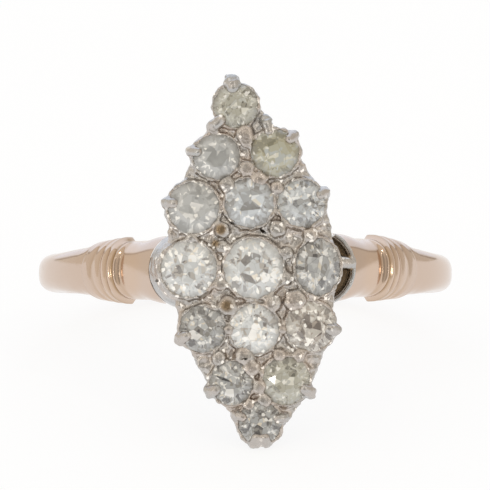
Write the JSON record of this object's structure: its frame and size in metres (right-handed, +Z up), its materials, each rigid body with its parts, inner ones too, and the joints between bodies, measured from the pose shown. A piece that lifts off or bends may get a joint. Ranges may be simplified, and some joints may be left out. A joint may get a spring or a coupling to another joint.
{
  "type": "diamond cluster ring",
  "caption": "Ring with a pale gold shank, reeded collars and a pierced white-metal head in a long pointed oval, set with old-cut diamonds held by rounded claws",
  "frame": {"origin": "centre of the ring's footprint, on the surface it lies on", "axes": "+Z up from the surface; the head faces -Y and leans back so that it looks a little upwards; +X is to the viewer's right when facing the head"},
  "size_m": [0.02, 0.0235, 0.0165],
  "materials": {
    "gold": "pale rose gold, polished and softly worn",
    "white_metal": "worn silver-grey white metal with grime in the recesses",
    "diamond": "old-cut diamond, near white",
    "diamond_milky": "old-cut diamond, milky grey",
    "diamond_greenish": "old-cut diamond, faint greenish yellow",
    "diamond_champagne": "old-cut diamond, champagne yellow",
    "diamond_brownish": "old-cut diamond, light brown"
  },
  "bodies": {
    "root": {"shank": "gold", "head": "white_metal", "diamond_01": "diamond_greenish", "diamond_02": "diamond_milky", "diamond_03": "diamond_champagne", "diamond_04": "diamond_milky", "diamond_05": "diamond", "diamond_06": "diamond", "diamond_07": "diamond", "diamond_08": "diamond", "diamond_09": "diamond", "diamond_10": "diamond", "diamond_11": "diamond", "diamond_12": "diamond_brownish", "diamond_13": "diamond", "diamond_14": "diamond_champagne", "diamond_15": "diamond_brownish"}
  },
  "joints": []
}
